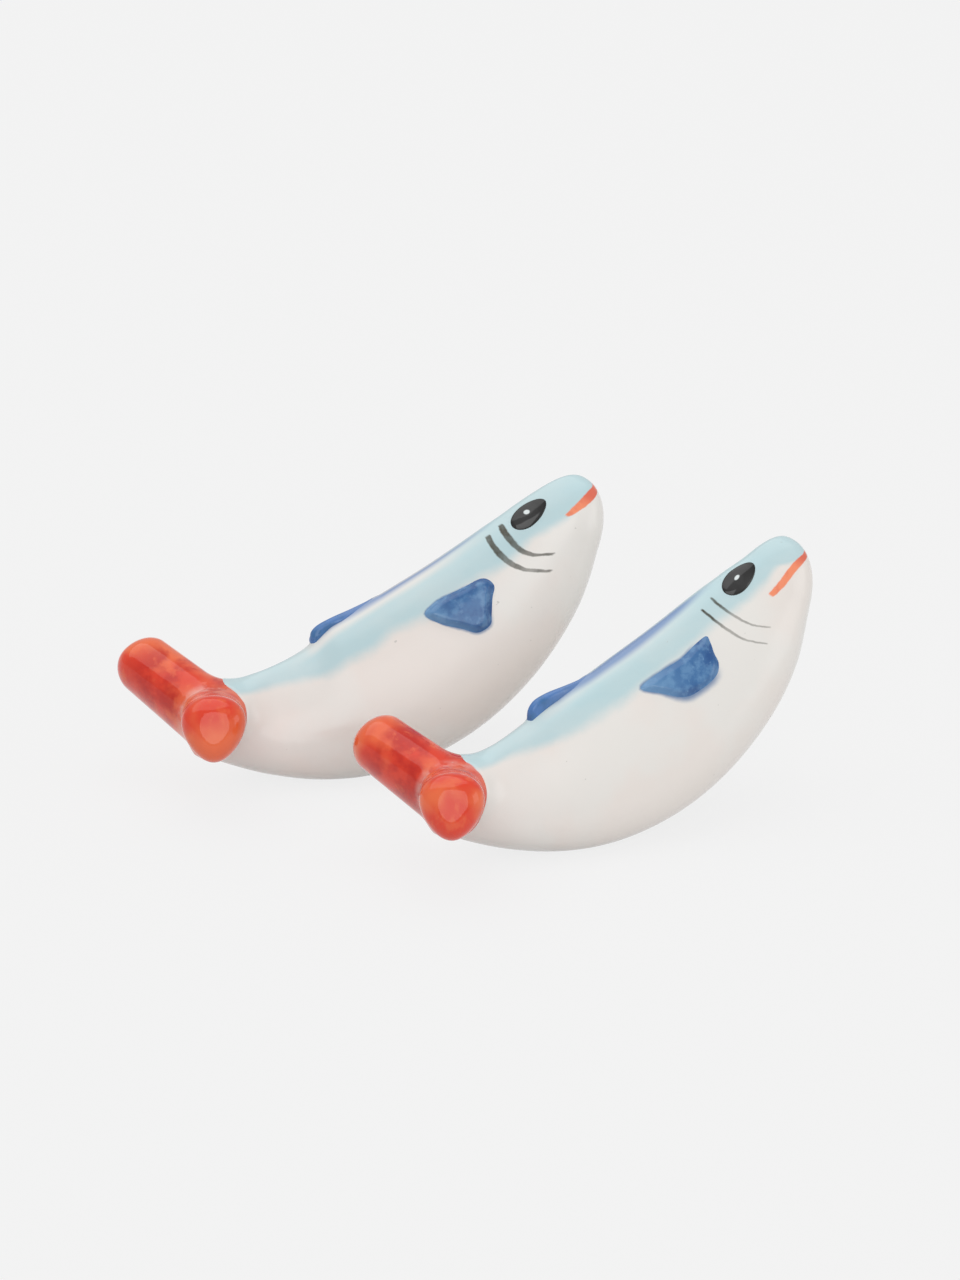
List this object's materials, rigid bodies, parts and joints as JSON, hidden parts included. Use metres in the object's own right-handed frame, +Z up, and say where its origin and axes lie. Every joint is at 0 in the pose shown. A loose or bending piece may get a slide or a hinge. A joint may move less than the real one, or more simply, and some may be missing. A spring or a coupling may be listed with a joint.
{
  "type": "chopstick rest",
  "caption": "Pair of hand-painted glazed ceramic fish chopstick rests: raised head, spread red tail, blue fins, and a low back between tail and fin that holds chopstick tips.",
  "frame": {"origin": "on the table, in the middle of the front rest's foot line, below its spine at the rear of the belly", "axes": "+X from the front rest's tail to its head, +Y to its left, towards the rear rest, +Z up"},
  "size_m": [0.0788, 0.0683, 0.0359],
  "materials": {
    "ivory_glaze": "clear gloss glaze over an ivory body, with a painted pale blue back, grey gills and a coral mouth",
    "blue_glaze": "clear gloss glaze over mottled cobalt blue brushwork",
    "red_glaze": "clear gloss glaze over mottled iron red brushwork",
    "black_glaze": "clear gloss glaze over black brushwork with a white catchlight"
  },
  "bodies": {
    "front_rest": {"front_body": "ivory_glaze", "front_dorsal_fin": "blue_glaze", "front_tail_lobe_left": "red_glaze", "front_tail_lobe_right": "red_glaze", "front_pectoral_fin_left": "blue_glaze", "front_pectoral_fin_right": "blue_glaze", "front_eye_left": "black_glaze", "front_eye_right": "black_glaze"},
    "rear_rest": {"rear_body": "ivory_glaze", "rear_dorsal_fin": "blue_glaze", "rear_tail_lobe_left": "red_glaze", "rear_tail_lobe_right": "red_glaze", "rear_pectoral_fin_left": "blue_glaze", "rear_pectoral_fin_right": "blue_glaze", "rear_eye_left": "black_glaze", "rear_eye_right": "black_glaze"}
  },
  "joints": [
    {"name": "rear_rest_lift", "type": "slide", "parent": "front_rest", "child": "rear_rest", "axis": [0, 0, 1], "range_m": [0, 0.06]}
  ]
}
